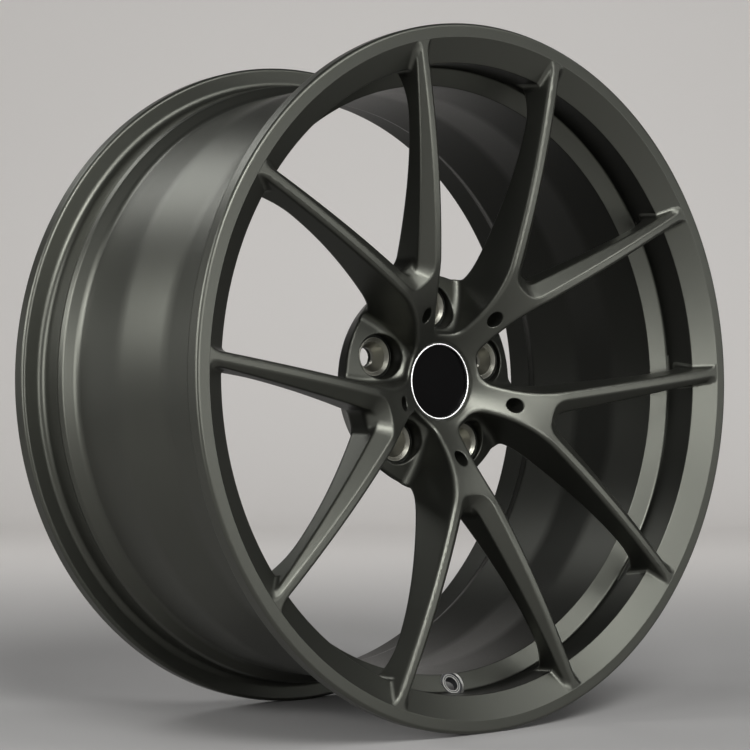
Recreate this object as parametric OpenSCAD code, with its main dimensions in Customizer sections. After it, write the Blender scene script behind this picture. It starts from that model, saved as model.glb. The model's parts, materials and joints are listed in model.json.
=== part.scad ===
// Forged road and track wheel, 20 x 9 J, five twin spokes, 5 x 120 bolt circle.
// Each piece is turned about its own z axis, with z pointing outboard, and the whole
// wheel is then stood up: axle along Y, face towards -Y, +Z up, origin at mid width.

/* [Rim] */
// Bead seat diameter of a 20 inch rim
bead_d = 512.8; // [505:1:520]
// Rim width between the flanges, 9 inches
rim_w = 228.6; // [215:1:240]
// Flange height above the bead seat
flange_h = 17.6; // [16:0.1:19]
// Flange thickness along the axle
flange_t = 14; // [12:0.5:16]
// Radius of the rounded flange corners
flange_round = 3; // [1:0.5:4]
// Length of each bead seat along the axle
seat_len = 20; // [18:0.5:22]
// Taper of the bead seats in degrees
seat_taper = 5; // [3:0.5:7]
// Height of the safety hump
hump_h = 1.2; // [0.8:0.1:2]
// Depth of the drop centre below the bead seat
well_depth = 17.5; // [15:0.5:20]
// Width of the flat floor of the drop centre
well_w = 40; // [30:1:45]
// Depth of the long rear barrel below the bead seat
barrel_depth = 10; // [8:0.5:12]
// Wall of the barrel
barrel_wall = 6; // [5:0.25:7.5]
// Width of the flat lip face
lip_face_w = 10.6; // [8:0.2:13]
// Width across the bevel behind the lip face
lip_bevel_w = 18.3; // [14:0.1:20]
// Depth of that bevel along the axle
lip_bevel_d = 12.5; // [9:0.5:15]

/* [Valve hole] */
// Diameter of the valve hole
valve_d = 11.5; // [8:0.1:12]
// Diameter of the machined spot face round it
valve_spot_d = 20; // [16:0.5:24]
// Depth of the spot face
valve_spot_depth = 2; // [1:0.25:3]

/* [Hub] */
// Bolt circle diameter
pcd = 120; // [112:0.5:122]
// Number of arms and of wheel bolts
arm_count = 5; // [5:1:5]
// Height of the mounting face outboard of mid width (the wheel's offset)
offset_et = 35; // [30:1:40]
// Hub bore diameter
hub_bore_d = 72.6; // [66:0.1:74]
// Depth of the hub bore
hub_bore_len = 12; // [9:0.5:14]
// Radius of the mounting pad at the back
pad_back_r = 79.5; // [77:0.5:82]
// Radius of the hub disc at its front edge
pad_front_r = 86; // [84:0.5:89]
// Thickness of the hub disc at its edge
pad_t = 19.5; // [18:0.5:22]
// Rise of the hub disc from its edge to the cap rim
pad_rise = 11; // [8:0.5:13]
// Width of the rim round the centre cap
cap_rim_w = 5.5; // [4:0.25:7]
// Depth of the relief pockets in the mounting face
relief_depth = 9; // [5:0.5:12]

/* [Lug seats] */
// Diameter of the lug pockets
pocket_d = 35; // [33:0.5:37]
// Material under the lug pocket floor
pocket_floor_t = 17; // [16:0.5:20]
// Diameter of a seat insert's collar
seat_collar_d = 30.4; // [29:0.2:32]
// Height of that collar above the pocket floor
seat_collar_h = 1; // [0.5:0.1:2]
// Diameter of a seat insert's body
seat_body_d = 27; // [25.5:0.1:28]
// Length of a seat insert's body
seat_body_len = 13; // [11:0.5:15]
// Large diameter of the 60 degree seat cone
seat_cone_d = 25; // [23:0.1:25.2]
// Diameter of the bolt hole
bolt_hole_d = 15; // [13:0.1:16]
// Radial gap round a pressed insert
press_gap = 0.02; // [0.01:0.01:0.04]

/* [Spokes] */
// Width of the flat crown along each spoke
crown_w = 7.2; // [6:0.1:9]
// Radius at which the twin spokes part
crotch_r = 89.5; // [85:0.5:94]
// Half width of the gap between the spokes where they part
crotch_half_w = 12.9; // [11:0.1:15]
// Spread of the twin spokes, sideways per unit of length
spoke_spread = 0.486; // [0.46:0.002:0.5]
// Width of the bevel inside the twin spokes, at the crotch
bevel_w_crotch = 11.5; // [8:0.5:13]
// Width of that bevel at the lip
bevel_w_lip = 3; // [2:0.5:5]
// Length and depth of the ramp down into the crotch
crotch_ramp = 16; // [12:0.5:18]
// Half width of the arm at its narrowest
neck_half_w = 12.2; // [11:0.1:14]
// Radius in the corner between two arms at the cap
neck_round = 9; // [6:0.5:11]
// Drop of the face curve from the lip to the crotch
face_drop = 17.4; // [12:0.2:22]
// Extra drop of the face near the cap
funnel_drop = 10; // [6:0.5:14]
// Depth of a spoke behind its crown near the lip
spoke_depth = 21.8; // [16:0.2:26]
// Draft of the outer flanks in degrees
flank_draft = 7; // [2:0.5:8]
// Diameter of the blind hole in each arm
arm_hole_d = 11.6; // [8:0.2:13]
// Depth of that hole
arm_hole_depth = 20; // [10:1:24]
// Radius of the circle of arm holes
arm_hole_r = 61.4; // [58:0.2:64]
// Gap left for the joint between centre and rim
joint_gap = 0.05; // [0.03:0.01:0.1]

/* [Centre cap] */
// Outside diameter of the bright trim ring
cap_ring_d = 61.4; // [58:0.2:64]
// Radial width of the trim ring
cap_ring_w = 1.6; // [1.2:0.1:2.5]
// Diameter of the bore that the cap's legs hold in
cap_bore_d = 56; // [53:0.5:58]
// Running clearance of the cap in its bore
cap_gap = 0.08; // [0.05:0.01:0.1]
// Length of the cap's snap legs
leg_len = 12; // [9:0.5:13]
// Number of snap legs
leg_count = 8; // [6:1:10]
// Wire diameter of the spring ring
spring_wire_d = 1.8; // [1.4:0.1:2.2]

/* [Hidden] */
$fn = 96;
eps = 0.01;

bead_r = bead_d / 2;
flange_r = bead_r + flange_h;
z_bead = rim_w / 2;                      // inner face of either flange
z_face = z_bead + flange_t;              // the lip face, and the rear face at -z_face
lip_in_r = flange_r - lip_face_w;        // inner edge of the lip face
lip_throat_r = lip_in_r - lip_bevel_w;   // the cylinder behind the bevel
z_throat = z_face - lip_bevel_d;
well_r = bead_r - well_depth;
barrel_r = bead_r - barrel_depth;
well_in_r = well_r - barrel_wall;
barrel_in_r = barrel_r - barrel_wall;
seat_end_r = bead_r - seat_len * tan(seat_taper);
z_seat_end = z_bead - seat_len;
z_well = z_seat_end - 21;                // front edge of the drop centre floor
throat_end_r = lip_throat_r + 1.4;
z_throat_end = z_well + 12.8;            // where the throat meets the valve cone
z_cone_end = z_well + 4.5;               // where the valve cone ends at the well bore
cone_angle = atan2(throat_end_r - well_in_r, z_throat_end - z_cone_end);

z_pad = offset_et;
z_disc_edge = z_pad + pad_t;
z_cap_rim = z_disc_edge + pad_rise;
z_pocket = z_pad + pocket_floor_t;
cap_recess_r = cap_ring_d / 2 + 0.25;
cap_recess_depth = 3.4;
z_cap_floor = z_cap_rim - cap_recess_depth;
hub_bore_r = hub_bore_d / 2;
cap_bore_r = cap_bore_d / 2;
lug_r = pcd / 2;
arm_step = 360 / arm_count;
first_arm = -90;                         // one arm points straight down

// Quarter round from angle a0 to a1 about a centre, as points
function arc(c, r, a0, a1, n = 6) =
    [for (i = [0:n]) c + r * [cos(a0 + (a1 - a0) * i / n), sin(a0 + (a1 - a0) * i / n)]];

// ---- the turned rim: outside from front to rear, then inside from rear to front ----
module rim_section() {
    fr = flange_round;
    foot = 6;
    hump_z = z_seat_end - 3;
    polygon(concat(
        [[lip_throat_r, z_throat], [lip_in_r, z_face]],
        arc([flange_r - fr, z_face - fr], fr, 90, 0),
        arc([flange_r - fr, z_bead + fr], fr, 0, -90),
        arc([bead_r + foot, z_bead - foot], foot, 90, 180),
        [[seat_end_r, z_seat_end], [seat_end_r + hump_h, hump_z], [seat_end_r, hump_z - 4],
         [well_r, z_well], [well_r, z_well - well_w], [barrel_r, -20],
         [barrel_r, -z_seat_end + 17], [seat_end_r, -hump_z + 5],
         [seat_end_r + hump_h, -hump_z], [seat_end_r, -z_seat_end]],
        arc([bead_r + foot, -z_bead + foot], foot, 180, 270),
        arc([flange_r - fr, -z_bead - fr], fr, 90, 0),
        arc([flange_r - fr, -z_face + fr], fr, 0, -90),
        [[bead_r + 3, -z_face], [bead_r - 7, -z_bead - 3], [bead_r - 8, -hump_z],
         [barrel_in_r, -z_seat_end + 17], [barrel_in_r, -20],
         [well_in_r, z_well - well_w], [well_in_r, z_cone_end],
         [throat_end_r, z_throat_end]]));
}

// Places its children on the valve cone, with z along the hole, pointing inward and forward
module at_valve() {
    mid_r = (throat_end_r + well_in_r) / 2;
    mid_z = (z_throat_end + z_cone_end) / 2;
    rotate([0, 0, first_arm]) translate([mid_r, 0, mid_z]) rotate([0, cone_angle - 90, 0]) children();
}

module rim_barrel() {
    color([0.20, 0.21, 0.20]) stand() difference() {
        rotate_extrude($fn = 120) rim_section();
        at_valve() {
            translate([0, 0, -30]) cylinder(h = 60, d = valve_d);
            translate([0, 0, -valve_spot_depth]) cylinder(h = 30, d = valve_spot_d);
        }
    }
}

// ---- the centre: a turned blank with ten windows milled out of it ----
// Height of the crown surface at radius r
function face_z(r) =
    let(lip = max(0, (lip_in_r - r) / (lip_in_r - crotch_r - 4)),
        funnel = max(0, (crotch_r + 10.5 - r) / (crotch_r + 10.5 - arm_hole_r)))
    z_face - 0.2 - face_drop * pow(lip, 2.3) - funnel_drop * pow(funnel, 1.55);

blank_sink = 6;      // how far the arm blank reaches down into the hub disc
rise_share = 0.95;   // share of a spoke's length over which its back rises
hub_lift = 9;        // how far the back lifts off the hub disc, and over what length
hub_lift_run = 8;
root_share = 0.2;    // share over which it thickens again at the rim
root_drop = 8;       // by how much it thickens there

// Height of the back of the spokes at radius r
function back_z(r) =
    let(t = (r - pad_front_r) / (lip_throat_r - pad_front_r),
        rise = face_z((pad_front_r + 3 * lip_throat_r) / 4) - spoke_depth - z_disc_edge,
        lift = hub_lift * (1 - exp((pad_front_r - r) / hub_lift_run)) * (1 - t),
        root = max(0, (t - 1 + root_share) / root_share))
    r < pad_front_r ? z_disc_edge - blank_sink
    : z_disc_edge + rise * sin(min(1, t / rise_share) * 90) + lift - root_drop * root * root;

module arm_blank() {
    bevel_slope = lip_bevel_d / lip_bevel_w;
    tip_r = lip_in_r - 1;
    tip_z = z_face - bevel_slope + joint_gap * norm([1, bevel_slope]);
    throat_slope = (throat_end_r - lip_throat_r) / (z_throat - z_throat_end);
    root_z = back_z(lip_throat_r);
    root_r = lip_throat_r - joint_gap + throat_slope * (z_throat - root_z);
    hub_end = cap_recess_r + 2;
    steps = 22;
    front = [for (i = [0:steps]) let(r = hub_end + (tip_r - hub_end) * pow(i / steps, 1.2))
             [r, face_z(r)]];
    back = [for (i = [2:2:steps]) let(r = lip_throat_r - (lip_throat_r - pad_front_r) * i / steps)
            [r, back_z(r)]];
    rotate_extrude($fn = 120) polygon(concat(
        front,
        [[tip_r, tip_z], [lip_throat_r - joint_gap, z_throat + joint_gap], [root_r, root_z]],
        back,
        [[pad_front_r - blank_sink, z_disc_edge - blank_sink], [hub_end, z_disc_edge - blank_sink]]));
}

spoke_angle = atan(spoke_spread);        // half angle between twin spokes
spoke_cos = cos(spoke_angle);
spoke_far = 1.05 * flange_r;             // the windows are open at the rim
bevel_angle = 45;
window_round = 5;
window_h = 1.2 * (z_face - z_pad);       // the windows are cut from the hub face up
function crown_in(v) = crotch_half_w + spoke_spread * (v - crotch_r);   // inner edge of a crown
function crown_out(v) = crown_in(v) + crown_w / spoke_cos;
function bevel_w(v) =
    bevel_w_lip + (bevel_w_crotch - bevel_w_lip) * max(0, (250 - v) / (250 - crotch_r));
function wall_in(v) = crown_in(v) - bevel_w(v) / spoke_cos;             // deep wall of the window

// Deep part of the window between twin spokes, seen from the front, with the arm along +y
module twin_outline() {
    foot_v = crotch_r + crotch_ramp;
    corner = [wall_in(foot_v + window_round) - window_round * spoke_cos, foot_v + window_round];
    half = concat(arc(corner, window_round, -90, -spoke_angle, 4),
                  [[wall_in(spoke_far), spoke_far]]);
    polygon(concat(half, [for (i = [len(half) - 1:-1:0]) [-half[i][0], half[i][1]]]));
}

// Bevel down from the inner edge of a crown, following the crown's height along the spoke
module bevel_cut() {
    length = lip_throat_r - crotch_r;
    steps = 9;
    line = [for (i = [-1:steps]) let(s = length * i / steps,
            v = crotch_r + s * spoke_cos)
            [s, face_z(norm([crown_in(v), v])) * cos(bevel_angle)]];
    translate([crown_in(crotch_r), crotch_r, 0]) rotate([0, 0, 90 - spoke_angle])
        rotate([90 - bevel_angle, 0, 0]) translate([0, 0, -crown_in(lip_throat_r)])
        linear_extrude(2 * crown_in(lip_throat_r)) polygon(concat(line,
            [[length, z_face + 20], [-length / steps, z_face + 20]]));
}

// Ramp down into the window from the crotch
module ramp_cut() {
    width = 2 * crown_out(crotch_r + 3 * crotch_ramp);
    translate([0, crotch_r, face_z(crotch_r)]) rotate([-atan((crotch_ramp + 1) / crotch_ramp), 0, 0])
        translate([-width / 2, -crotch_ramp / 2, 0]) cube([width, 4 * crotch_ramp, 3 * crotch_ramp]);
}

module twin_window() {
    translate([0, 0, z_pad]) linear_extrude(window_h) twin_outline();
    intersection() {
        bevel_cut();
        mirror([1, 0, 0]) bevel_cut();
        ramp_cut();
    }
}

// Half width of an arm at distance v: the neck, easing into the straight outer edge of the crown
neck_ease = 10.8;
function arm_half(v) =
    let(near = max(0, neck_ease - abs(crown_out(v) - neck_half_w)))
    max(crown_out(v), neck_half_w) + near * near / (4 * neck_ease);

// Outer edge of an arm: round the cap, the corner, the neck, then the straight spoke
hub_wall_r = cap_recess_r + cap_rim_w + 1.75;
function arm_edge() =
    let(c = [neck_half_w + neck_round,
             sqrt(pow(hub_wall_r + neck_round, 2) - pow(neck_half_w + neck_round, 2))],
        turn = atan2(c[0], c[1]),
        near_mid = arm_step / 2 - 3)
    concat([for (a = [near_mid, (near_mid + turn) / 2]) hub_wall_r * [sin(a), cos(a)]],
           arc(c, neck_round, 270 - turn, 180),
           [for (v = [50:6:98]) [arm_half(v), v]],
           [[crown_out(spoke_far), spoke_far]]);

// The same edge seen from the middle of the gap between two arms
module gap_outline() {
    a = arm_step / 2;
    half = [for (p = arm_edge()) [-(p[0] * cos(a) - p[1] * sin(a)), p[0] * sin(a) + p[1] * cos(a)]];
    polygon(concat(half, [for (i = [len(half) - 1:-1:0]) [-half[i][0], half[i][1]]]));
}

// All that lies beyond the drafted flank on the right of an arm
module beyond_flank() {
    v0 = crotch_r;
    v1 = lip_throat_r;
    z0 = face_z(norm([crown_out(v0), v0]));
    climb = atan2(z_face - z0, (v1 - v0) / spoke_cos);
    translate([crown_out(v0), v0, z0]) rotate([0, 0, -spoke_angle]) rotate([climb, 0, 0])
        rotate([0, -flank_draft, 0]) translate([0, -flange_r, -flange_r]) cube(2 * flange_r);
}

module gap_window() {
    a = arm_step / 2;
    intersection() {
        translate([0, 0, z_pad]) linear_extrude(window_h) gap_outline();
        rotate([0, 0, a]) beyond_flank();
        mirror([1, 0, 0]) rotate([0, 0, a]) beyond_flank();
    }
}

module hub_disc() {
    rotate_extrude($fn = 120) polygon([
        [hub_bore_r, z_pad], [pad_back_r, z_pad], [pad_front_r - 1, z_disc_edge - 3],
        [pad_front_r, z_disc_edge - 1], [pad_front_r - 1.5, z_disc_edge],
        [cap_recess_r + cap_rim_w + 5, z_cap_rim - 0.5], [cap_recess_r + cap_rim_w, z_cap_rim],
        [cap_recess_r + 1, z_cap_rim], [cap_recess_r, z_cap_rim - 1],
        [cap_recess_r, z_cap_floor], [cap_bore_r, z_cap_floor],
        [cap_bore_r, z_pad + hub_bore_len], [hub_bore_r, z_pad + hub_bore_len]]);
}

module relief_pocket() {
    translate([0, 0, z_pad - eps]) linear_extrude(relief_depth) intersection() {
        difference() {
            circle(r = pad_back_r - 7);
            circle(r = hub_bore_r + 9);
        }
        polygon([[0, 0], [100 * cos(15), -100 * sin(15)], [100 * cos(15), 100 * sin(15)]]);
    }
}

module wheel_centre() {
    color([0.24, 0.25, 0.24]) stand() difference() {
        union() {
            difference() {
                arm_blank();
                for (k = [0:arm_count - 1]) rotate([0, 0, first_arm - 90 + arm_step * k]) {
                    twin_window();
                    rotate([0, 0, arm_step / 2]) gap_window();
                }
                translate([0, 0, z_cap_rim - 60]) cylinder(h = 160, r = cap_recess_r + 1);
            }
            hub_disc();
        }
        for (k = [0:arm_count - 1]) rotate([0, 0, first_arm + arm_step * k]) {
            translate([arm_hole_r, 0, face_z(arm_hole_r) - arm_hole_depth])
                cylinder(h = 60, d = arm_hole_d, $fn = 48);
            relief_pocket();
            rotate([0, 0, arm_step / 2]) translate([lug_r, 0, 0]) {
                translate([0, 0, z_pocket]) cylinder(h = 60, d = pocket_d);
                translate([0, 0, z_pad - 1]) cylinder(h = 40, d = bolt_hole_d + 0.6);
                translate([0, 0, z_pocket - seat_body_len]) cylinder(h = 40, d = seat_body_d + 2 * press_gap);
            }
        }
    }
}

// ---- steel seat inserts ----
module lug_seat(k) {
    body_r = seat_body_d / 2;
    collar_r = seat_collar_d / 2;
    cone_r = seat_cone_d / 2;
    hole_r = bolt_hole_d / 2;
    cone_depth = (cone_r - hole_r) / tan(30);
    top = z_pocket + seat_collar_h;
    color([0.66, 0.64, 0.58]) stand()
        rotate([0, 0, first_arm + arm_step * (k - 0.5)]) translate([lug_r, 0, 0])
        rotate_extrude() polygon([
            [hole_r, z_pocket - seat_body_len], [body_r - 0.5, z_pocket - seat_body_len],
            [body_r, z_pocket - seat_body_len + 0.5], [body_r, z_pocket], [collar_r, z_pocket],
            [collar_r, top - 0.4], [collar_r - 0.4, top], [cone_r, top], [hole_r, top - cone_depth]]);
}

// ---- centre cap ----
cap_ring_r = cap_ring_d / 2;
cap_wall_r = cap_bore_r - cap_gap;
shell_t = 1.8;
z_cap_top = z_cap_rim - 0.9;
z_shell = z_cap_floor + shell_t;
disc_r = cap_ring_r - cap_ring_w - 0.1;

module cap_shell() {
    slot_w = 3;
    color([0.08, 0.08, 0.085]) stand() difference() {
        union() {
            translate([0, 0, z_cap_floor]) cylinder(h = shell_t, r = cap_ring_r - 0.3);
            rotate_extrude() polygon([
                [cap_wall_r - 2, z_cap_floor - leg_len], [cap_wall_r - 0.8, z_cap_floor - leg_len],
                [cap_wall_r, z_cap_floor - leg_len + 1.5], [cap_wall_r, z_cap_floor - leg_len + 3],
                [cap_wall_r - 0.6, z_cap_floor - leg_len + 4], [cap_wall_r - 0.6, z_cap_floor + 0.5],
                [cap_wall_r - 3.2, z_cap_floor + 0.5], [cap_wall_r - 3.2, z_cap_floor - 3],
                [cap_wall_r - 2, z_cap_floor - 3.6]]);
        }
        for (k = [0:leg_count - 1]) rotate([0, 0, 360 / leg_count * (k + 0.5)])
            translate([cap_wall_r - 6, -slot_w / 2, z_cap_floor - leg_len - 1])
            cube([10, slot_w, leg_len + 0.6]);
    }
}

module cap_trim_ring() {
    color([0.85, 0.85, 0.85]) stand() rotate_extrude() polygon(concat(
        [[cap_ring_r - cap_ring_w, z_shell], [cap_ring_r, z_shell]],
        arc([cap_ring_r - 0.6, z_cap_top - 0.6], 0.6, 0, 90, 4),
        [[cap_ring_r - cap_ring_w + 0.3, z_cap_top], [cap_ring_r - cap_ring_w, z_cap_top - 0.3]]));
}

module cap_disc() {
    dome = 0.5;
    steps = 8;
    color([0.03, 0.03, 0.03]) stand() rotate_extrude() polygon(concat(
        [[0, z_shell], [disc_r, z_shell]],
        [for (i = [0:steps]) let(t = 1 - i / steps)
            [disc_r * t, z_cap_top + 0.1 - dome * t * t]]));
}

module cap_spring_ring() {
    ring_r = cap_wall_r - 2 - spring_wire_d / 2;
    gap = 14;
    color([0.55, 0.55, 0.53]) stand() translate([0, 0, z_cap_floor - leg_len + 4.5])
        rotate([0, 0, 90 + gap]) rotate_extrude(angle = 360 - 2 * gap)
        translate([ring_r, 0]) circle(d = spring_wire_d, $fn = 32);
}

// Stands the wheel up: outboard faces -Y, arms keep their angles seen from the front
module stand() {
    rotate([90, 0, 0]) children();
}

rim_barrel();
wheel_centre();
lug_seat(1);  // lug_seat_1
lug_seat(2);  // lug_seat_2
lug_seat(3);  // lug_seat_3
lug_seat(4);  // lug_seat_4
lug_seat(5);  // lug_seat_5
cap_shell();
cap_trim_ring();
cap_disc();
cap_spring_ring();
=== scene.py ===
"""Looks of the forged wheel: smooth filleted forms, coated and bare metal, floor, light and camera.

Local wheel coordinates are millimetres, turned about z with z pointing outboard. The shared
frame has x = local x, y = -local z and z = local y, in metres.
"""
import json
import math

import bpy
import numpy as np
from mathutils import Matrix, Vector
from mathutils.kdtree import KDTree

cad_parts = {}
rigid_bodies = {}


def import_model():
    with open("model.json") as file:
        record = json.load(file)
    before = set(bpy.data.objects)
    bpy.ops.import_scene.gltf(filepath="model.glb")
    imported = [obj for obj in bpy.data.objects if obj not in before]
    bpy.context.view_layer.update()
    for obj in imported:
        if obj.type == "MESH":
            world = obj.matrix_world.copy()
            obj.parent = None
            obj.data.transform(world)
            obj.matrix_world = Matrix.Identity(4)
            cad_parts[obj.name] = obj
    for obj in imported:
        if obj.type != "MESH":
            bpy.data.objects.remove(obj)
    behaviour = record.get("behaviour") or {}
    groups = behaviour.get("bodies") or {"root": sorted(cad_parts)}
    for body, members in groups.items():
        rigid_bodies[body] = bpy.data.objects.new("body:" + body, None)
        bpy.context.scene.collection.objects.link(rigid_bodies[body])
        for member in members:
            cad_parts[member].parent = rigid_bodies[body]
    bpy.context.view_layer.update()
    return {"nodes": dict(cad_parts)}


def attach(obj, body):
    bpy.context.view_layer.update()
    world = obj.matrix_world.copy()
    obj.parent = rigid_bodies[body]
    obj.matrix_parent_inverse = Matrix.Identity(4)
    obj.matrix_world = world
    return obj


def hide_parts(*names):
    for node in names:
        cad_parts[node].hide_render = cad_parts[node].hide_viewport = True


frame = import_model()
MM = 0.001

# ---- sizes of the wheel, as in part.scad ----
BEAD_R = 256.4
FLANGE_R = 274.0
Z_BEAD = 114.3
Z_FACE = 128.3
FLANGE_ROUND = 3.0
LIP_IN_R = 263.4
THROAT_R = 245.1
Z_THROAT = 115.8
THROAT_END_R = 246.5
Z_THROAT_END = 86.1
WELL_R = 238.9
WELL_IN_R = 232.9
BARREL_R = 246.4
BARREL_IN_R = 240.4
SEAT_END_R = 254.65
Z_SEAT_END = 94.3
Z_WELL = 73.3
WELL_W = 40.0
Z_CONE_END = 77.8
HUMP_H = 1.2
VALVE_D = 11.5
VALVE_SPOT_D = 20.0
VALVE_SPOT_DEPTH = 2.0
BARREL_BEND_R = 90.0      # the soft bends between the barrel and the drop centre
SKIN_R = FLANGE_R - 0.1   # inside the facets of the CAD mesh

ARM_COUNT = 5
ARM_STEP = 2 * math.pi / ARM_COUNT
FIRST_ARM = -math.pi / 2
LUG_R = 60.0
LUG_POCKET_R = 17.5
PAD_BACK_R = 79.5
PAD_FRONT_R = 86.0
Z_PAD = 35.0
Z_DISC_EDGE = 54.5
Z_CAP_RIM = 65.5
Z_POCKET = 52.0
Z_CAP_FLOOR = 62.1
CAP_RECESS_R = 30.95
RECESS_CLEAR = 0.8        # deeper than the solid's: the grid cuts the corner that the shell lies in
CAP_RIM_R = 38.2
CAP_BORE_R = 28.0
CAP_RING_R = 30.7
CAP_RING_W = 1.6
HUB_BORE_R = 36.3
Z_HUB_BORE = 47.0
RELIEF_DEPTH = 9.0
RELIEF_HALF_WEDGE = math.radians(15)

CROWN_W = 7.2
CROTCH_R = 89.5
CROTCH_HALF_W = 12.9
SPREAD = 0.486
BEVEL_W_CROTCH = 11.5
BEVEL_W_LIP = 3.0
RAMP = 16.0
NECK_HALF_W = 12.2
FACE_DROP = 17.4
FUNNEL_DROP = 10.0
SPOKE_DEPTH = 21.8
FLANK_DRAFT = 0.12
HUB_LIFT = 9.0
HUB_LIFT_RUN = 8.0
SEAT_BODY_R = 13.5
SEAT_BODY_LEN = 13.0
SEAT_COLLAR_R = 15.2
SEAT_COLLAR_H = 1.0
BOLT_HOLE_R = 7.5
ARM_HOLE_R = 61.4
ARM_HOLE_D = 11.6
ARM_HOLE_DEPTH = 20.0

# ---- fillets of the centre ----
NECK_BLEND = 10.8         # the flank of an arm into its neck
RIM_ROUND = 9.0           # the hub's rim between two arms
BODY_BLEND = 7.5          # an arm into the disc
ROOT_BLEND = 4.5          # a spoke into the rim
BACK_BLEND = 3.5
CROTCH_BLEND = 4.0
CROWN_EDGE = 0.9          # at the inner walls
CROWN_EDGE_OUTER = 3.2    # added at the outer flanks
RECESS_EDGE = 1.8
POCKET_EDGE = 1.3

# ---- the centre's mesh ----
GRID = 1.0                # mm, in radius and in height
SECTOR_TURNS = 288
MOST_TRIANGLES = 196_000


# ---- small helpers ----
def soft_min(a, b, k):
    """The lower of two fields, with a fillet about k wide where they meet."""
    h = np.maximum(k - np.abs(a - b), 0)
    return np.minimum(a, b) - h * h / (4 * k)


def soft_max(a, b, k):
    return -soft_min(-a, -b, k)


def to_frame(p):
    """Local millimetres to metres in the shared frame."""
    return np.stack([p[:, 0], -p[:, 2], p[:, 1]], 1) * MM


def to_frame_dir(n):
    return np.stack([n[:, 0], -n[:, 2], n[:, 1]], 1)


def new_object(name, verts, faces, body, normals=None, material=None):
    """A mesh piece from local points and faces, smooth, with its own normals where given."""
    mesh = bpy.data.meshes.new(name)
    mesh.vertices.add(len(verts))
    mesh.vertices.foreach_set("co", to_frame(np.asarray(verts, float)).astype(np.float32).ravel())
    faces = np.asarray(faces, np.int32)
    n, k = faces.shape
    mesh.loops.add(n * k)
    mesh.loops.foreach_set("vertex_index", faces.ravel())
    mesh.polygons.add(n)
    mesh.polygons.foreach_set("loop_start", np.arange(0, n * k, k, dtype=np.int32))
    mesh.polygons.foreach_set("use_smooth", np.ones(n, bool))
    mesh.update(calc_edges=True)
    mesh.validate()
    if normals is not None:
        mesh.normals_split_custom_set_from_vertices(to_frame_dir(np.asarray(normals, float)).tolist())
    ob = bpy.data.objects.new(name, mesh)
    bpy.context.scene.collection.objects.link(ob)
    if material:
        mesh.materials.append(material)
    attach(ob, body)
    return ob


# ---- the form of the centre as a field: negative inside ----
radii = np.arange(0, 300, 0.5)


def crown_height(r):
    lip = np.maximum(0, (LIP_IN_R - r) / (LIP_IN_R - CROTCH_R - 4))
    funnel = np.maximum(0, (CROTCH_R + 10.5 - r) / (CROTCH_R + 10.5 - ARM_HOLE_R))
    return Z_FACE - 0.2 - FACE_DROP * lip ** 2.3 - FUNNEL_DROP * funnel ** 1.55


crown_table = crown_height(radii)
crown_slope = np.gradient(crown_table, radii)


def rim_field(r, z):
    """The lip bevel, the throat and the valve cone, which the spoke roots run into."""
    run, rise = LIP_IN_R - THROAT_R, Z_FACE - Z_THROAT
    bevel = ((z - Z_THROAT) * run - (r - THROAT_R) * rise) / math.hypot(run, rise)
    slope = (THROAT_END_R - THROAT_R) / (Z_THROAT - Z_THROAT_END)
    throat = THROAT_R + (Z_THROAT - z) * slope - r
    run, rise = THROAT_END_R - WELL_IN_R, Z_THROAT_END - Z_CONE_END
    cone = ((z - Z_THROAT_END) * run - (r - THROAT_END_R) * rise) / math.hypot(run, rise)
    return soft_min(soft_max(bevel, throat, 1.0), soft_max(cone, WELL_IN_R - r, 1.0), 3.0)


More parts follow.
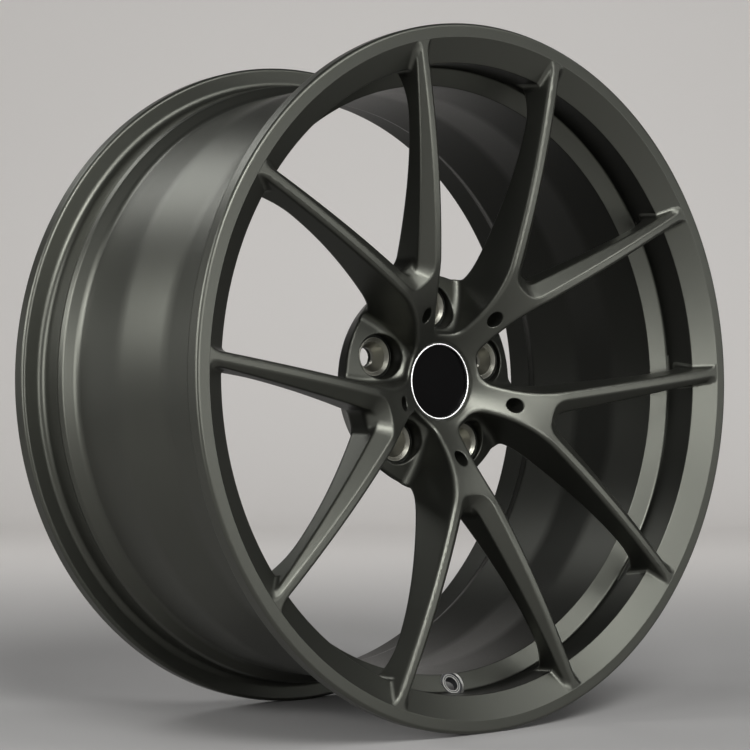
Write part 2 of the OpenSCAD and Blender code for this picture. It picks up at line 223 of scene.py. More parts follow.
def centre_field(x, y, z):
    """The forging with its arms, disc, cap recess, lug pockets, arm holes and relief pockets."""
    r, angle = np.hypot(x, y), np.arctan2(y, x)
    a = (angle - FIRST_ARM + ARM_STEP / 2) % ARM_STEP - ARM_STEP / 2
    u, v = np.abs(r * np.sin(a)), r * np.cos(a)
    crown = np.interp(r, radii, crown_table)
    slope = np.interp(r, radii, crown_slope)
    depth = crown - z
    spoke_cos = math.cos(math.atan(SPREAD))

    # the outer flank of an arm, and the neck between arms
    line = CROTCH_HALF_W + SPREAD * (v - CROTCH_R) + CROWN_W / spoke_cos
    edge = soft_max(line, np.full_like(line, NECK_HALF_W), NECK_BLEND)
    lean = SPREAD * np.clip((line - NECK_HALF_W + 5) / 10, 0, 1)
    plan = (u - edge) / np.sqrt(1 + lean * lean) - FLANK_DRAFT * np.clip(depth, 0, 60)
    plan = soft_min(plan, r - CAP_RIM_R, RIM_ROUND)

    # the window inside an arm: bevelled sides, and a ramp at the crotch
    inner = (CROTCH_HALF_W + SPREAD * (v - CROTCH_R) - u) * spoke_cos
    width = BEVEL_W_LIP + (BEVEL_W_CROTCH - BEVEL_W_LIP) * np.clip((250 - v) / (250 - CROTCH_R), 0, 1.05)
    side = soft_max((inner - depth) / math.sqrt(2), inner - width - 0.045 * (depth - width), 1.0)
    along = v - (CROTCH_R - 0.3 + u * u / 90)
    end = soft_max((along * (RAMP + 1) - depth * RAMP) / math.hypot(RAMP, RAMP + 1),
                   along - RAMP - 0.03 * (depth - RAMP - 1), 2.5)
    inner_part = soft_min(side, end, CROTCH_BLEND)
    arm = soft_max(plan, inner_part, 1.2)

    # the back edge, which climbs out of the disc and flattens towards the lip
    t = np.clip((r - PAD_FRONT_R) / (THROAT_R - PAD_FRONT_R), 0, 1.2)
    far = float(np.interp((PAD_FRONT_R + 3 * THROAT_R) / 4, radii, crown_table))
    root = np.maximum(0, (t - 0.8) / 0.2)
    back = Z_DISC_EDGE + (far - SPOKE_DEPTH - Z_DISC_EDGE) * np.sin(np.minimum(1, t / 0.95) * math.pi / 2)
    back = back + HUB_LIFT * (1 - np.exp(np.minimum(0, PAD_FRONT_R - r) / HUB_LIFT_RUN)) * (1 - t)
    back = np.where(r < PAD_FRONT_R, Z_DISC_EDGE - 1.6 * (PAD_FRONT_R - r), back - 8 * root * root)
    back = back + 0.2 * np.clip(inner + 7, 0, 20) * np.clip((r - CROTCH_R) / 20, 0, 1)
    arm = soft_max(arm, (back - z) * 0.93, BACK_BLEND)

    # the hub disc
    top = np.clip((PAD_FRONT_R - r) / (PAD_FRONT_R - 42), -0.1, 1)
    top = Z_DISC_EDGE + (Z_CAP_RIM - Z_DISC_EDGE) * top
    cone = np.clip((z - Z_PAD) / (Z_DISC_EDGE - 3 - Z_PAD), -1, 1.3)
    cone = PAD_BACK_R + (PAD_FRONT_R - PAD_BACK_R) * cone
    disc = soft_max(soft_max(z - top, (r - cone) * 0.85, 3.0), Z_PAD - z, 1.0)
    body = soft_min(arm, disc, BODY_BLEND)

    # the spoke roots run into the rim, and the crowns cut the front
    rim = rim_field(r, z)
    body = soft_min(body, rim + 0.06, ROOT_BLEND)
    lip = z - (Z_FACE - 0.1)
    front = np.where(r > LIP_IN_R - 2, np.maximum(z - crown, lip),
                     (z - crown) / np.sqrt(1 + slope * slope))
    outer = (np.clip(0.5 + (plan - inner_part) / 4, 0, 1)
             * np.clip((LIP_IN_R - 2 - r) / 10, 0, 1))
    form = soft_max(body, front, CROWN_EDGE + CROWN_EDGE_OUTER * outer)
    form = np.maximum(form, -rim - 1.2)
    form = np.maximum(form, np.minimum(arm - 9.5, r - 200))

    # bores and recess for the cap
    for reach, floor, ease in ((CAP_RECESS_R, Z_CAP_FLOOR - RECESS_CLEAR, RECESS_EDGE),
                               (CAP_BORE_R, Z_HUB_BORE, 0.8)):
        form = soft_max(form, -np.maximum(r - reach, floor - z), ease)
    form = soft_max(form, -np.maximum(r - HUB_BORE_R, z - Z_HUB_BORE), 0.8)

    # lug pockets with the bores of the seats, arm holes, and relief pockets in the mounting face
    b = (angle - FIRST_ARM) % ARM_STEP - ARM_STEP / 2
    lug = np.hypot(r * np.sin(b), r * np.cos(b) - LUG_R)
    form = soft_max(form, -np.maximum(lug - LUG_POCKET_R, Z_POCKET - z), POCKET_EDGE)
    seat = np.maximum(lug - SEAT_BODY_R - 0.05, Z_POCKET - SEAT_BODY_LEN - z)
    form = soft_max(form, -seat, 0.6)
    form = soft_max(form, BOLT_HOLE_R + 0.3 - lug, 0.6)
    hole = np.hypot(u, v - ARM_HOLE_R) - ARM_HOLE_D / 2
    floor = float(np.interp(ARM_HOLE_R, radii, crown_table)) - ARM_HOLE_DEPTH
    form = soft_max(form, -np.maximum(hole, floor - z), 0.9)
    relief = soft_max(soft_max(r - PAD_BACK_R + 7, HUB_BORE_R + 9 - r, 4.0),
                      u * math.cos(RELIEF_HALF_WEDGE) - v * math.sin(RELIEF_HALF_WEDGE), 4.0)
    return soft_max(form, -np.maximum(relief, z - Z_PAD - RELIEF_DEPTH), 1.0)


def gradient(field, p, step=0.05):
    g = np.empty_like(p)
    for axis in range(3):
        d = np.zeros(3)
        d[axis] = step
        hi, lo = p + d, p - d
        g[:, axis] = (field(*hi.T) - field(*lo.T)) / (2 * step)
    return g


def settle(field, p, rounds=3, reach=0.7):
    """Moves points onto the surface of a field and returns them with its normals."""
    for _ in range(rounds):
        g = gradient(field, p)
        move = field(*p.T) / np.maximum((g * g).sum(1), 0.05)
        p = p - np.clip(move, -reach, reach)[:, None] * g
    g = gradient(field, p)
    return p, g / np.maximum(np.linalg.norm(g, axis=1), 1e-6)[:, None]


def surface(field, r0, r1, z0, z1, step, turns):
    """Surface nets of a field that repeats ARM_COUNT times round the axis, on a grid of radius,
    angle and height. One sector is worked out and the others are its copies, joined to it."""
    rs, zs = np.arange(r0, r1, step), np.arange(z0, z1, step)
    start = FIRST_ARM - ARM_STEP / 2
    ts = start + np.arange(turns) * ARM_STEP / turns
    grid = np.stack(np.meshgrid(rs, ts, zs, indexing="ij"), -1)
    nr, nt, nz = grid.shape[:3]
    rr, tt = grid[..., 0].ravel(), grid[..., 1].ravel()
    value = field(rr * np.cos(tt), rr * np.sin(tt), grid[..., 2].ravel()).reshape(nr, nt, nz)
    value = np.concatenate([value, value[:, :1]], 1)
    inside = value < 0
    corners = [(i, j, k) for i in (0, 1) for j in (0, 1) for k in (0, 1)]
    part = [inside[i:nr - 1 + i, j:nt + j, k:nz - 1 + k] for i, j, k in corners]
    total = sum(c.astype(np.int8) for c in part)
    cells = np.argwhere((total > 0) & (total < 8))
    at = [value[cells[:, 0] + i, cells[:, 1] + j, cells[:, 2] + k] for i, j, k in corners]
    place, count = np.zeros((len(cells), 3)), np.zeros(len(cells))
    for a in range(8):
        for axis, b in enumerate((a | 4, a | 2, a | 1)):
            if a == b:
                continue
            cross = (at[a] < 0) != (at[b] < 0)
            share = np.where(cross, at[a] / np.where(cross, at[a] - at[b], 1), 0)
            point = np.tile(np.array(corners[a], float), (len(cells), 1))
            point[:, axis] += share
            place += point * cross[:, None]
            count += cross
    place = cells + place / count[:, None]
    r = r0 + place[:, 0] * step
    t = start + place[:, 1] * ARM_STEP / turns
    points = np.stack([r * np.cos(t), r * np.sin(t), z0 + place[:, 2] * step], 1)
    wrapped = -1_000_000_000      # marks a cell of the sector before
    number = np.full((nr - 1, nt, nz - 1), -1, np.int64)
    number[tuple(cells.T)] = np.arange(len(cells))
    quads = []
    for axis in range(3):
        lo = inside[:nr - 1 if axis == 0 else nr, :nt, :nz - 1 if axis == 2 else nz]
        hi = inside[1 if axis == 0 else 0:, (1 if axis == 1 else 0):(nt + 1 if axis == 1 else nt),
                    1 if axis == 2 else 0:]
        edge = np.argwhere(lo != hi)
        one, two = [d for d in range(3) if d != axis]
        ring = []
        for da, db in ((1, 1), (0, 1), (0, 0), (1, 0)):
            cell = edge.copy()
            cell[:, one] -= da
            cell[:, two] -= db
            back = cell[:, 1] < 0
            cell[:, 1] %= nt
            ring.append(number[tuple(cell.T)] + back * wrapped)
        ring = np.stack(ring, 1)
        flip = lo[tuple(edge.T)] == (axis == 1)
        ring[flip] = ring[flip][:, ::-1]
        quads.append(ring)
    quads = np.concatenate(quads)
    n = len(points)
    all_points, all_quads = [], []
    for s in range(ARM_COUNT):
        c, w = math.cos(s * ARM_STEP), math.sin(s * ARM_STEP)
        all_points.append(points @ np.array([[c, w, 0], [-w, c, 0], [0, 0, 1]]))
        before = (s - 1) % ARM_COUNT * n
        all_quads.append(np.where(quads < 0, quads - wrapped + before, quads + s * n))
    return np.concatenate(all_points), np.concatenate(all_quads)


def thinned(ob, most):
    """Collapses flat areas until at most that many triangles are left."""
    mesh = ob.data
    mesh.calc_loop_triangles()
    count = len(mesh.loop_triangles)
    if count <= most:
        return
    thin = ob.modifiers.new("thin", "DECIMATE")
    thin.ratio = most / count
    done = bpy.data.meshes.new_from_object(ob.evaluated_get(bpy.context.evaluated_depsgraph_get()))
    ob.modifiers.clear()
    ob.data = done
    bpy.data.meshes.remove(mesh)


def revolved(profile, turns):
    """Points, faces and normals of a closed profile of (r, z, normal r, normal z) turned about z."""
    p = np.asarray(profile, float)
    n = len(p)
    t = np.arange(turns) * 2 * math.pi / turns
    c, s = np.cos(t)[:, None], np.sin(t)[:, None]
    verts, norms = (np.stack([p[:, m] * c, p[:, m] * s, np.broadcast_to(p[:, m + 1], (turns, n))],
                             -1).reshape(-1, 3) for m in (0, 2))
    j, i = np.meshgrid(np.arange(turns), np.arange(n), indexing="ij")
    a, b = j * n + i, j * n + (i + 1) % n
    d, e = (j + 1) % turns * n + i, (j + 1) % turns * n + (i + 1) % n
    return verts, np.stack([a, d, e, b], -1).reshape(-1, 4), norms


def rounded(corners, longest=14.0):
    """A closed outline, counter-clockwise in (r, z), from corners (r, z, fillet radius), as points
    with normals: arcs at the corners, and flats cut into pieces no longer than asked."""
    pts = np.array([c[:2] for c in corners], float)
    rad = [c[2] for c in corners]
    n = len(pts)
    out = []
    for i in range(n):
        p, a, b = pts[i], pts[i - 1], pts[(i + 1) % n]
        d0, d1 = (p - a) / np.linalg.norm(p - a), (b - p) / np.linalg.norm(b - p)
        turn = math.atan2(d0[0] * d1[1] - d0[1] * d1[0], d0 @ d1)
        cut = min(abs(rad[i] * math.tan(turn / 2)), 0.48 * np.linalg.norm(p - a),
                  0.48 * np.linalg.norm(b - p))
        radius = cut / max(abs(math.tan(turn / 2)), 1e-6)
        steps = max(2, int(abs(turn) / 0.2) + 1)
        start = p - d0 * cut
        side = math.copysign(1, turn)
        centre = start + side * radius * np.array([-d0[1], d0[0]])
        for k in range(steps + 1):
            ang = turn * k / steps
            c, s = math.cos(ang), math.sin(ang)
            rel = start - centre
            q = centre + np.array([rel[0] * c - rel[1] * s, rel[0] * s + rel[1] * c])
            tan = np.array([d0[0] * c - d0[1] * s, d0[0] * s + d0[1] * c])
            out.append([*q, tan[1], -tan[0]])
    full = []
    for i, q in enumerate(out):
        full.append(q)
        nxt = out[(i + 1) % len(out)]
        gap = math.hypot(nxt[0] - q[0], nxt[1] - q[1])
        extra = int(gap / longest)
        for k in range(1, extra + 1):
            f = k / (extra + 1)
            full.append([q[m] + (nxt[m] - q[m]) * f for m in range(4)])
    return full


# ---- materials ----
def material(name, base, metallic, rough, scale, grain, tint=0.0, bump=0.0, with_painted_shade=False):
    """A coat or a metal: slow colour drift, fine grain in roughness, and a fine bump. With painted shade
    on, its colour is multiplied by the mesh's per-vertex attribute of painted shade, which darkens the
    deep places."""
    m = bpy.data.materials.new(name)
    m.use_nodes = True
    nt = m.node_tree
    bsdf = nt.nodes["Principled BSDF"]
    bsdf.inputs["Metallic"].default_value = metallic
    bsdf.inputs["Roughness"].default_value = rough
    bsdf.inputs["Base Color"].default_value = (*base, 1)

    def node(kind, **values):
        made = nt.nodes.new(kind)
        for key, value in values.items():
            if key in made.inputs:
                made.inputs[key].default_value = value
            else:
                setattr(made, key, value)
        return made

    place = node("ShaderNodeTexCoord").outputs["Object"]
    cloud = node("ShaderNodeTexNoise", Scale=6.0, Detail=3.0)
    nt.links.new(place, cloud.inputs["Vector"])
    fine = node("ShaderNodeTexNoise", Scale=scale, Detail=2.0)
    nt.links.new(place, fine.inputs["Vector"])
    if tint:
        ramp = node("ShaderNodeMapRange")
        ramp.inputs["To Min"].default_value = 1 - tint
        ramp.inputs["To Max"].default_value = 1 + tint
        nt.links.new(cloud.outputs["Fac"], ramp.inputs["Value"])
        mix = node("ShaderNodeVectorMath", operation="SCALE")
        mix.inputs[0].default_value = base
        nt.links.new(ramp.outputs[0], mix.inputs["Scale"])
        nt.links.new(mix.outputs[0], bsdf.inputs["Base Color"])
        if with_painted_shade:
            share = node("ShaderNodeAttribute", attribute_name="painted_shade")
            shade = node("ShaderNodeVectorMath", operation="SCALE")
            nt.links.new(mix.outputs[0], shade.inputs[0])
            nt.links.new(share.outputs["Fac"], shade.inputs["Scale"])
            nt.links.new(shade.outputs[0], bsdf.inputs["Base Color"])
    ramp = node("ShaderNodeMapRange")
    ramp.inputs["From Min"].default_value = 0.25
    ramp.inputs["From Max"].default_value = 0.75
    ramp.inputs["To Min"].default_value = rough - grain
    ramp.inputs["To Max"].default_value = rough + grain
    nt.links.new(fine.outputs["Fac"], ramp.inputs["Value"])
    nt.links.new(ramp.outputs[0], bsdf.inputs["Roughness"])
    if bump:
        bumps = node("ShaderNodeBump", Strength=bump, Distance=0.00005)
        nt.links.new(fine.outputs["Fac"], bumps.inputs["Height"])
        nt.links.new(bumps.outputs[0], bsdf.inputs["Normal"])
    return m


GUNMETAL = (0.086, 0.088, 0.076)
coat_centre = material("coat_centre", GUNMETAL, 0.94, 0.38, 1600, 0.05, 0.04, 0.25, with_painted_shade=True)
coat_rim = material("coat_rim", GUNMETAL, 0.94, 0.38, 1600, 0.05, 0.04, 0.22, with_painted_shade=True)
seat_metal = material("seat_metal", (0.27, 0.265, 0.23), 1.0, 0.38, 1400, 0.07, 0.08, 0.4)
bare_alloy = material("bare_alloy", (0.42, 0.42, 0.40), 1.0, 0.40, 1400, 0.07, 0.08, 0.4)
chrome = material("cap_chrome", (0.86, 0.86, 0.85), 1.0, 0.27, 1800, 0.03, 0.01)
black_gloss = material("cap_gloss", (0.0007, 0.0006, 0.0006), 0.0, 0.35, 1600, 0.03)
black_gloss.node_tree.nodes["Principled BSDF"].inputs["Specular IOR Level"].default_value = 0.03
black_matte = material("cap_matte", (0.030, 0.030, 0.032), 0.0, 0.5, 1500, 0.06, 0.05, 0.4)
spring_steel = material("spring_steel", (0.55, 0.55, 0.53), 1.0, 0.3, 1800, 0.06, 0.05)
# painted shade: shares of the coat's colour in the lug pockets, on the hub pad's front face and on the
# barrel's inner face, where the same coat is only darker in shade
POCKET_PAINTED_SHADE, PAD_PAINTED_SHADE, INNER_PAINTED_SHADE = 0.25, 0.6, 0.32


def keep_painted_shade(ob, painted_shade):
    """Painted shade: a share per vertex of the coat's colour, fitted to the photo, which makes deep places
    nearly black as shade would.
    """
    attribute = ob.data.attributes.new("painted_shade", "FLOAT", "POINT")
    attribute.data.foreach_set("value", painted_shade.astype(np.float32))


# ---- the centre ----
points, quads = surface(centre_field, 27.0, 266.2, 33.2, 131.0, GRID, SECTOR_TURNS)
centre = new_object("centre_forging", points, quads, "wheel", material=coat_centre)
thinned(centre, MOST_TRIANGLES)
mesh = centre.data
co = np.empty(len(mesh.vertices) * 3, np.float32)
mesh.vertices.foreach_get("co", co)
co = co.reshape(-1, 3).astype(float) / MM
local, normals = settle(centre_field, np.stack([co[:, 0], co[:, 2], -co[:, 1]], 1))
mesh.vertices.foreach_set("co", to_frame(local).astype(np.float32).ravel())
mesh.update()
mesh.polygons.foreach_set("use_smooth", np.ones(len(mesh.polygons), bool))
mesh.normals_split_custom_set_from_vertices(to_frame_dir(normals).tolist())
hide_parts("wheel_centre")
x, y, z = local.T
radius = np.hypot(x, y)
lug_turns = [FIRST_ARM + ARM_STEP * (k + 0.5) for k in range(ARM_COUNT)]
from_lug = np.min([np.hypot(x - LUG_R * math.cos(a), y - LUG_R * math.sin(a)) for a in lug_turns],
                  axis=0)
# painted shade: the lug pockets and the hub pad's front face get a darker share of the coat's colour, as
# if in shade
pocket_shade_mask = np.clip(LUG_POCKET_R + 0.8 - from_lug, 0, 1)
pad_shade_mask = (np.clip((normals[:, 2] - 0.6) / 0.3, 0, 1) * np.clip((62 - z) / 4, 0, 1)
          * np.clip((92 - radius) / 3, 0, 1))
keep_painted_shade(centre, (1 - (1 - POCKET_PAINTED_SHADE) * pocket_shade_mask)
          * (1 - (1 - PAD_PAINTED_SHADE) * pad_shade_mask * (1 - pocket_shade_mask)))

# ---- the rim ----
hump = Z_SEAT_END - 3
rim_corners = [
    (THROAT_R, Z_THROAT, 1.2), (THROAT_END_R, Z_THROAT_END, 3.0), (WELL_IN_R, Z_CONE_END, 1.0),
    (WELL_IN_R, Z_WELL - WELL_W, BARREL_BEND_R), (BARREL_IN_R, -20, BARREL_BEND_R),
    (BARREL_IN_R, 17 - Z_SEAT_END, 10),
    (BEAD_R - 8, -hump, 4), (BEAD_R - 7, -Z_BEAD - 3, 4), (BEAD_R + 3, -Z_FACE, 2.0),
    (SKIN_R, -Z_FACE, FLANGE_ROUND), (SKIN_R, -Z_BEAD, FLANGE_ROUND), (BEAD_R, -Z_BEAD, 6.0),
    (SEAT_END_R, -Z_SEAT_END, 1.0), (SEAT_END_R + HUMP_H, -hump, 2.0), (SEAT_END_R, 5 - hump, 4.0),
    (BARREL_R, 17 - Z_SEAT_END, 10), (BARREL_R, -20, BARREL_BEND_R),
    (WELL_R, Z_WELL - WELL_W, BARREL_BEND_R), (WELL_R, Z_WELL, 12),
    (SEAT_END_R, hump - 4, 4.0), (SEAT_END_R + HUMP_H, hump, 2.0), (SEAT_END_R, Z_SEAT_END, 1.0),
    (BEAD_R, Z_BEAD, 6.0), (SKIN_R, Z_BEAD, FLANGE_ROUND), (SKIN_R, Z_FACE, FLANGE_ROUND),
    (LIP_IN_R, Z_FACE, 0.8)]
verts, faces, norms = revolved(rounded(rim_corners), 432)
rim = new_object("rim_turned", verts, faces, "wheel", norms, coat_rim)
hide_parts("rim_barrel")

# ---- valve hole, cut square to the cone behind the throat ----
tilt = math.atan2(THROAT_END_R - WELL_IN_R, Z_THROAT_END - Z_CONE_END)
valve_at = np.array([0, -(THROAT_END_R + WELL_IN_R) / 2, (Z_THROAT_END + Z_CONE_END) / 2])
valve_in = np.array([0, math.cos(tilt), math.sin(tilt)])       # along the hole, to the wheel's inside
valve_up = np.array([0, -math.sin(tilt), math.cos(tilt)])
valve_across = np.array([1.0, 0, 0])


def at_valve(p, directions=False):
    turned = p[:, :1] * valve_up + p[:, 1:2] * valve_across + p[:, 2:] * valve_in
    return turned if directions else turned + valve_at


def cut_valve_hole(ob):
    """The stepped valve hole, by an exact boolean; the skin round it keeps its smooth normals."""
    old = ob.data
    for look in (bare_alloy, black_matte):
        old.materials.append(look)
    tree = KDTree(len(old.vertices))
    for v in old.vertices:
        tree.insert(v.co, v.index)
    tree.balance()
    skin = {}
    for loop, n in zip(old.loops, old.corner_normals):
        v = old.vertices[loop.vertex_index].co
        r = math.hypot(v.x, v.z)
        skin[loop.vertex_index] = ((n.vector.x * v.x + n.vector.z * v.z) / r, n.vector.y)
    bright, painted_shade_band = 1, 2
    hole_r, spot_r = VALVE_D / 2, VALVE_SPOT_D / 2
    # radius, height along the hole, and the look of the band that starts there: bare metal at the machined
    # edges, and black as painted shade on the hole's wall and in the spot face
    steps = [(hole_r + 0.7, -20, painted_shade_band), (hole_r, -9, painted_shade_band), (hole_r, -1.3, bright),
             (hole_r + 0.3, -1, bright), (hole_r + 1.0, -1, painted_shade_band),
             (hole_r + 1.2, -1.5, painted_shade_band), (hole_r + 1.5, -1.5, painted_shade_band),
             (hole_r + 1.7, -1, bright), (hole_r + 2.5, -1, bright), (hole_r + 2.7, -1.3, painted_shade_band),
             (hole_r + 2.7, -VALVE_SPOT_DEPTH, painted_shade_band), (spot_r, -VALVE_SPOT_DEPTH, painted_shade_band),
             (spot_r, -0.9, bright), (spot_r + 1.4, 0.5, painted_shade_band), (spot_r + 1.4, 14, painted_shade_band)]
    turns = 96
    angles = np.arange(turns) * 2 * math.pi / turns
    rings = [np.stack([r * np.cos(angles), r * np.sin(angles), np.full(turns, float(h))], 1)
             for r, h, look in steps]
    verts = np.concatenate(rings + [np.array([[0, 0, steps[0][1]], [0, 0, steps[-1][1]]], float)])
    faces, looks = [], []
    for j in range(len(steps) - 1):
        for i in range(turns):
            n = (i + 1) % turns
            faces.append((j * turns + i, j * turns + n, (j + 1) * turns + n, (j + 1) * turns + i))
            looks.append(steps[j][2])
    last = len(steps) - 1
    for i in range(turns):
        n = (i + 1) % turns
        faces += [(len(verts) - 2, n, i), (len(verts) - 1, last * turns + i, last * turns + n)]
        looks += [painted_shade_band, painted_shade_band]
    tool_mesh = bpy.data.meshes.new("valve_tool")
    tool_mesh.from_pydata([tuple(v) for v in to_frame(at_valve(verts))], [], faces)
    for look in (coat_rim, bare_alloy, black_matte):
        tool_mesh.materials.append(look)
    tool_mesh.polygons.foreach_set("material_index", looks)
    tool = bpy.data.objects.new("valve_tool", tool_mesh)
    bpy.context.scene.collection.objects.link(tool)
    cut = ob.modifiers.new("valve", "BOOLEAN")
    cut.operation, cut.solver, cut.object, cut.material_mode = "DIFFERENCE", "EXACT", tool, "INDEX"
    done = bpy.data.meshes.new_from_object(ob.evaluated_get(bpy.context.evaluated_depsgraph_get()))
    ob.modifiers.clear()
    ob.data = done
    for spare in (tool, tool_mesh, old):
        (bpy.data.objects if spare is tool else bpy.data.meshes).remove(spare)
    axis = at_valve(np.array([[0, 0, 0], [0, 0, 1.0]]))
    foot, along = Vector(to_frame(axis[:1])[0]), Vector(to_frame_dir(axis[1:] - axis[:1])[0])
    normals = [(0.0, 0.0, 0.0)] * len(done.loops)
    for face in done.polygons:
        for i in face.loop_indices:
            co = done.vertices[done.loops[i].vertex_index].co
            if face.material_index:
                out = (co - foot) - (co - foot).dot(along) * along
                centre_out = (face.center - foot) - (face.center - foot).dot(along) * along
                side = face.normal.dot(centre_out.normalized())
                turned = out.normalized() * side + along * face.normal.dot(along)
                normals[i] = tuple(turned.normalized())
            else:
                outward, forward = skin[tree.find(co)[1]]
                r = math.hypot(co.x, co.z)
                normals[i] = (outward * co.x / r, forward, outward * co.z / r)
    done.normals_split_custom_set(normals)


cut_valve_hole(rim)
mesh = rim.data
co, facing = (np.empty(len(mesh.vertices) * 3, np.float32) for _ in range(2))
mesh.vertices.foreach_get("co", co)
mesh.vertices.foreach_get("normal", facing)
co, facing = co.reshape(-1, 3), facing.reshape(-1, 3)
# painted shade: faces of the rim that look in towards the axis get about a third of the coat's colour, as
# if in shade
inward = -(co[:, 0] * facing[:, 0] + co[:, 2] * facing[:, 2]) / np.hypot(co[:, 0], co[:, 2])
keep_painted_shade(rim, 1 - (1 - INNER_PAINTED_SHADE) * np.clip((inward - 0.8) / 0.15, 0, 1))

# ---- seat inserts ----
for k in range(ARM_COUNT):
    top = Z_POCKET + SEAT_COLLAR_H
    foot = Z_POCKET - SEAT_BODY_LEN
    rim_r, groove_r = SEAT_COLLAR_R - 0.5, 12.6
    slope = math.tan(math.radians(30))
    rim_end = top - 0.2 - (rim_r - groove_r) / slope / 2
    cone_end = rim_end - 0.5 - (groove_r - 0.4 - BOLT_HOLE_R) / slope
    outline = rounded([(BOLT_HOLE_R, foot, 0.3), (SEAT_BODY_R, foot, 0.5), (SEAT_BODY_R, Z_POCKET, 0.05),
                       (SEAT_COLLAR_R, Z_POCKET, 0.05), (SEAT_COLLAR_R, top, 0.3), (rim_r, top, 0.2),
                       (groove_r, rim_end, 0.1), (groove_r, rim_end - 0.5, 0.05),
                       (groove_r - 0.4, rim_end - 0.5, 0.1), (BOLT_HOLE_R, cone_end, 0.4)])
    verts, faces, norms = revolved(outline, 72)
    at = FIRST_ARM + ARM_STEP * (k + 0.5)
    verts = verts + LUG_R * np.array([math.cos(at), math.sin(at), 0])
    seat = new_object("seat_%d" % (k + 1), verts, faces, "wheel", norms, seat_metal)
    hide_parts("lug_seat_%d" % (k + 1))

# ---- centre cap ----
ring_top = Z_CAP_RIM + 1.2       # prouder than the solid's, as in the photo
ring_foot = Z_CAP_FLOOR + 1.8
verts, faces, norms = revolved(rounded([
    (CAP_RING_R - CAP_RING_W, ring_foot, 0.1), (CAP_RING_R, ring_foot, 0.1), (CAP_RING_R, ring_top, 0.75),
    (CAP_RING_R - CAP_RING_W, ring_top, 0.55)]), 160)
trim = new_object("trim_ring", verts, faces, "centre_cap", norms, chrome)
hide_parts("cap_trim_ring")
for name, look in (("cap_shell", black_matte), ("cap_disc", black_gloss),
                   ("cap_spring_ring", spring_steel)):
    node = frame["nodes"][name]
    node.data.materials.clear()
    node.data.materials.append(look)

# ---- floor and backdrop: a dim floor that rises into a pale wall ----
floor_z = -FLANGE_R * MM
half, bend_r, depth_y = 1.7, 0.8, 3.2
profile = [(-1.6, 0.0)] + [(depth_y + bend_r * math.sin(a), bend_r * (1 - math.cos(a)))
                           for a in np.linspace(0, math.pi / 2, 13)] + [(depth_y + bend_r, 3.0)]
sweep = bpy.data.meshes.new("floor")
view_dir = Vector((0.648, 0.761, 0.0)).normalized()     # the way the photo was taken
across = Vector((view_dir.y, -view_dir.x, 0))
sweep.from_pydata([tuple(view_dir * d + across * s * half + Vector((0, 0, floor_z + h)))
                   for d, h in profile for s in (-1, 1)], [],
                  [(2 * i, 2 * i + 1, 2 * i + 3, 2 * i + 2) for i in range(len(profile) - 1)])
for p in sweep.polygons:
    p.use_smooth = True
floor = bpy.data.objects.new("floor", sweep)
bpy.context.scene.collection.objects.link(floor)

pale = bpy.data.materials.new("floor_pale")
pale.use_nodes = True
tree = pale.node_tree
shader = tree.nodes["Principled BSDF"]
shader.inputs["Roughness"].default_value = 0.9


def maths(kind, a, b):
    made = tree.nodes.new("ShaderNodeMath")
    made.operation = kind
    for socket, value in zip(made.inputs, (a, b)):
        if isinstance(value, (int, float)):
            socket.default_value = value
        else:
            tree.links.new(value, socket)
    return made.outputs[0]


away = tree.nodes.new("ShaderNodeVectorMath")
away.operation = "DOT_PRODUCT"
away.inputs[1].default_value = view_dir
tree.links.new(tree.nodes.new("ShaderNodeTexCoord").outputs["Object"], away.inputs[0])
rise = tree.nodes.new("ShaderNodeMapRange")
rise.interpolation_type = "SMOOTHSTEP"
rise.inputs["From Min"].default_value = 0.3
rise.inputs["From Max"].default_value = 2.4
tree.links.new(away.outputs["Value"], rise.inputs["Value"])
floor_mix = tree.nodes.new("ShaderNodeMix")
floor_mix.data_type = "RGBA"
floor_tone, wall_tone = (0.30, 0.295, 0.29, 1), (0.62, 0.61, 0.60, 1)
for socket in floor_mix.inputs:
    if socket.type == "RGBA":
        socket.default_value = floor_tone if socket.name == "A" else wall_tone
tree.links.new(rise.outputs[0], floor_mix.inputs["Factor"])
floor_colour = [o for o in floor_mix.outputs if o.type == "RGBA"][0]
tree.links.new(floor_colour, shader.inputs["Base Color"])
paths = tree.nodes.new("ShaderNodeLightPath").outputs
seen = maths("MAXIMUM", maths("MAXIMUM", paths["Is Camera Ray"], paths["Is Glossy Ray"]),
             paths["Is Transmission Ray"])
shader.inputs["Emission Color"].default_value = (0.60, 0.57, 0.54, 1)
WALL_GLOW = 0.45                 # seen by the camera and in reflections, no light on the wheel
glow = maths("MULTIPLY", maths("MULTIPLY", seen, rise.outputs[0]), WALL_GLOW)
tree.links.new(glow, shader.inputs["Emission Strength"])
sweep.materials.append(pale)


# ---- light: one key from the upper left, and the other lamps as shares of its power by role ----
KEY_W = 46.0
SIDE_W = 0.4 * KEY_W      # shapes the wheel from the left and from above
FILL_W = 0.26 * KEY_W     # opens the shadows at the front and on the barrel's top
EDGE_W = 0.1 * KEY_W      # lines the lip at the right
FAINT_W = 0.03 * KEY_W    # lifts the barrel from behind


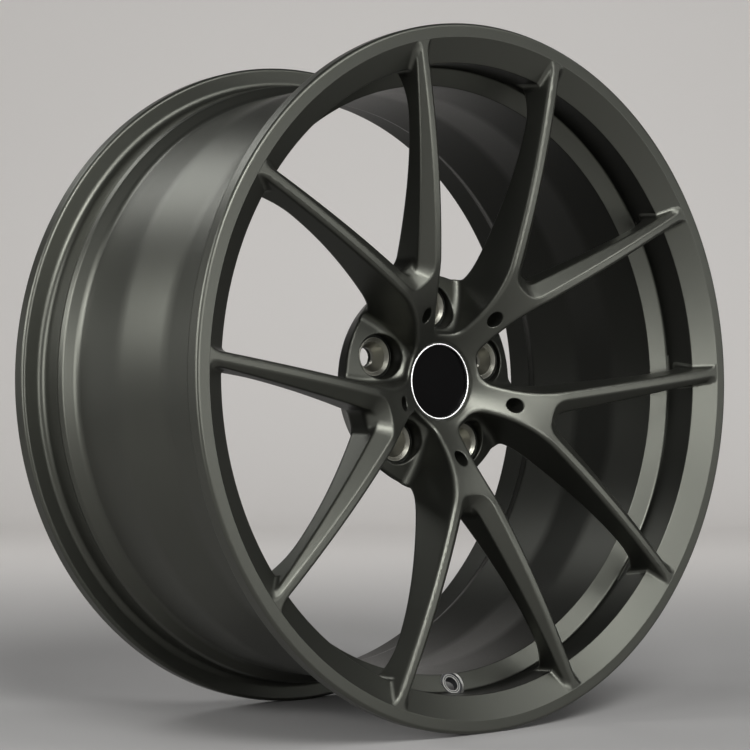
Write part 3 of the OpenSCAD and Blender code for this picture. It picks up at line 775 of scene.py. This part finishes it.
def lamp(name, place, width, height, power):
    """An area lamp that looks at the wheel's middle."""
    light = bpy.data.lights.new(name, "AREA")
    light.energy = power
    light.size = width
    if height != width:
        light.shape, light.size_y = "RECTANGLE", height
    ob = bpy.data.objects.new(name, light)
    bpy.context.scene.collection.objects.link(ob)
    ob.location = place
    ob.rotation_euler = (-Vector(place)).to_track_quat("-Z", "Y").to_euler()


lamp("key", (-0.9, -1.9, 1.5), 0.9, 0.9, KEY_W)
lamp("high_front", (0.4, -1.7, 1.7), 0.9, 0.9, SIDE_W)
lamp("left_low", (-2.4, -0.3, 0.2), 0.9, 0.9, SIDE_W)
lamp("left_behind", (-2.1, 0.9, 0.8), 0.7, 0.7, SIDE_W)
lamp("left_front", (-0.75, -2.3, 0.15), 0.8, 0.6, FILL_W)
lamp("left_high", (-2.3, 0.1, 1), 0.9, 0.9, FILL_W)
lamp("front_strip", (0.3, -2.4, 0.15), 2.0, 0.6, FILL_W)
lamp("behind_high", (-0.7, 1.6, 1.8), 0.9, 0.9, FILL_W)
lamp("right_front", (1.55, -1.85, 0.1), 0.8, 0.6, EDGE_W)
lamp("high_right", (1.5, -1.4, 1.4), 0.9, 0.9, EDGE_W)
lamp("behind_low", (-1.5, 1.9, 0.2), 0.9, 0.9, FAINT_W)

world = bpy.data.worlds.new("world")
bpy.context.scene.world = world
world.use_nodes = True
back = world.node_tree.nodes["Background"]
back.inputs["Color"].default_value = (0.80, 0.80, 0.80, 1)
rays = world.node_tree.nodes.new("ShaderNodeLightPath")
strength = world.node_tree.nodes.new("ShaderNodeMapRange")
strength.inputs["To Min"].default_value = 0.03       # as a light
strength.inputs["To Max"].default_value = 0.6        # as the camera sees it
world.node_tree.links.new(rays.outputs["Is Camera Ray"], strength.inputs["Value"])
world.node_tree.links.new(strength.outputs[0], back.inputs["Strength"])

# ---- camera, at the photograph's viewing angle ----
camera = bpy.data.objects.new("camera", bpy.data.cameras.new("camera"))
bpy.context.scene.collection.objects.link(camera)
camera.location = (-1.0151, -1.2349, -0.0435)
camera.rotation_euler = tuple(math.radians(a) for a in (89.842, -0.149, -40.419))
camera.data.lens = 92.95
camera.data.sensor_width = 36.0
camera.data.shift_x = -0.0613
camera.data.shift_y = 0.088
bpy.context.scene.camera = camera
bpy.context.scene.view_settings.view_transform = "Standard"
